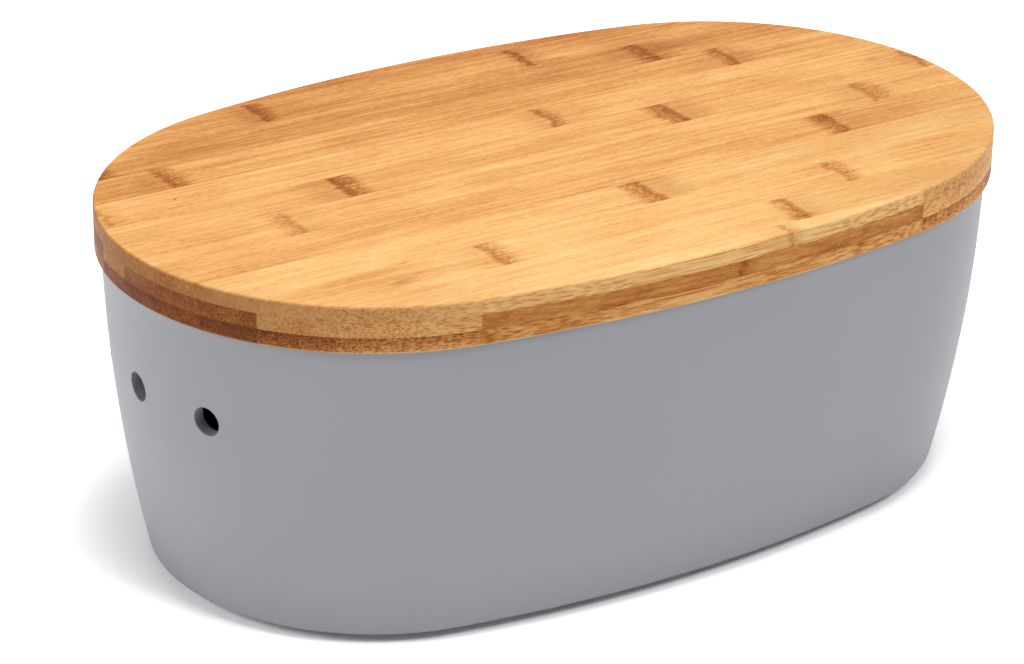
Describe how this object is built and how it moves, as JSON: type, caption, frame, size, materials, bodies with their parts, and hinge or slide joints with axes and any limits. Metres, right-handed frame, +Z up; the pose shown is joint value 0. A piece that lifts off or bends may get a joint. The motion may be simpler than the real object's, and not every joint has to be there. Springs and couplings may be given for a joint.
{
  "type": "bread box",
  "caption": "Oval bread box: a moulded box with vent holes in its ends, on soft feet, under a loose lid of glued bamboo strips that drops over the rim.",
  "frame": {"origin": "on the table, under the middle of the box", "axes": "+X along the box's length, +Y to its back, +Z up"},
  "size_m": [0.36, 0.218, 0.1399],
  "materials": {
    "bamboo": "oiled, satin",
    "moulded_body": "fine matte, moulded",
    "foot_rubber": "soft matte"
  },
  "bodies": {
    "box": {"body_shell": "moulded_body", "foot_1": "foot_rubber", "foot_2": "foot_rubber", "foot_3": "foot_rubber", "foot_4": "foot_rubber"},
    "lid": {"bottom_strip_01": "bamboo", "bottom_strip_02": "bamboo", "bottom_strip_03": "bamboo", "bottom_strip_04": "bamboo", "bottom_strip_05": "bamboo", "bottom_strip_06": "bamboo", "bottom_strip_07": "bamboo", "bottom_strip_08": "bamboo", "bottom_strip_09": "bamboo", "bottom_strip_10": "bamboo", "bottom_strip_11": "bamboo", "bottom_strip_12": "bamboo", "core_strip_01": "bamboo", "core_strip_02": "bamboo", "core_strip_03": "bamboo", "core_strip_04": "bamboo", "core_strip_05": "bamboo", "core_strip_06": "bamboo", "core_strip_07": "bamboo", "core_strip_08": "bamboo", "core_strip_09": "bamboo", "core_strip_10": "bamboo", "core_strip_11": "bamboo", "core_strip_12": "bamboo", "top_strip_01": "bamboo", "top_strip_02": "bamboo", "top_strip_03": "bamboo", "top_strip_04": "bamboo", "top_strip_05": "bamboo", "top_strip_06": "bamboo", "top_strip_07": "bamboo", "top_strip_08": "bamboo", "top_strip_09": "bamboo", "top_strip_10": "bamboo", "top_strip_11": "bamboo", "top_strip_12": "bamboo"}
  },
  "joints": [
    {"name": "lid_lift", "type": "slide", "parent": "box", "child": "lid", "axis": [0, 0, 1], "range_m": [0, 0.15]}
  ]
}
